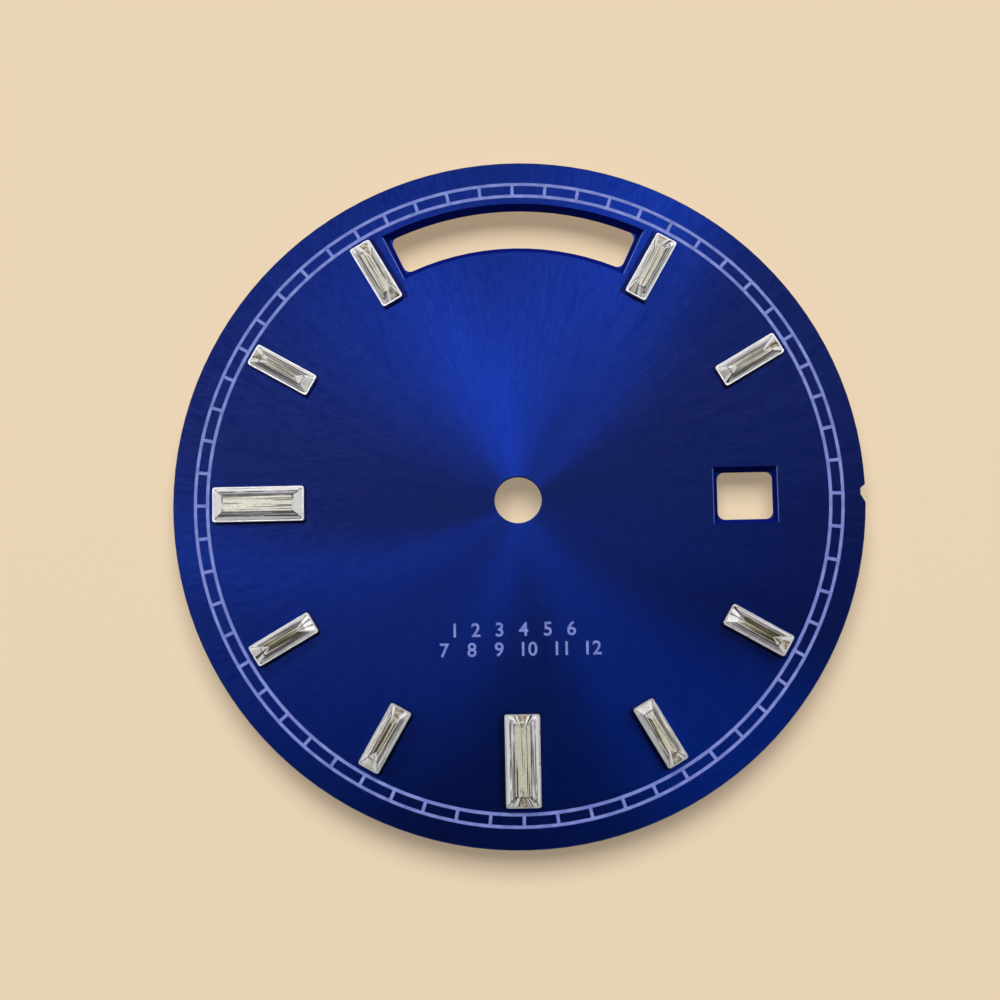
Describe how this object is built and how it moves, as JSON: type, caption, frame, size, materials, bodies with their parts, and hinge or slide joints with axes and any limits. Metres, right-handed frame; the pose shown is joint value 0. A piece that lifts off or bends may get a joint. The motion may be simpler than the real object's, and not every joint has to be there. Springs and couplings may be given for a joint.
{
  "type": "watch dial",
  "caption": "Round watch dial: blue sunray plate with a day arc, a date window, a printed minute track and applied baguette stone hour markers.",
  "frame": {"origin": "centre of the hand hole at the plate's back face", "axes": "+Z out of the printed face, +Y to 12 o'clock, +X to 3 o'clock"},
  "size_m": [0.0284, 0.0284, 0.0022],
  "materials": {
    "plate": "brass, radially brushed, blue under clear lacquer on the face, bare on the back",
    "print": "pale lavender pad print",
    "foot": "bare copper alloy wire",
    "setting": "polished white metal",
    "stone": "clear, step cut and polished"
  },
  "bodies": {
    "root": {"dial_plate": "plate", "minute_track": "print", "dial_foot_1": "foot", "dial_foot_2": "foot", "marker_setting_01": "setting", "marker_setting_02": "setting", "marker_setting_04": "setting", "marker_setting_05": "setting", "marker_setting_06": "setting", "marker_setting_07": "setting", "marker_setting_08": "setting", "marker_setting_09": "setting", "marker_setting_10": "setting", "marker_setting_11": "setting", "marker_stone_01": "stone", "marker_stone_02": "stone", "marker_stone_04": "stone", "marker_stone_05": "stone", "marker_stone_06": "stone", "marker_stone_07": "stone", "marker_stone_08": "stone", "marker_stone_09": "stone", "marker_stone_10": "stone", "marker_stone_11": "stone"}
  },
  "joints": []
}
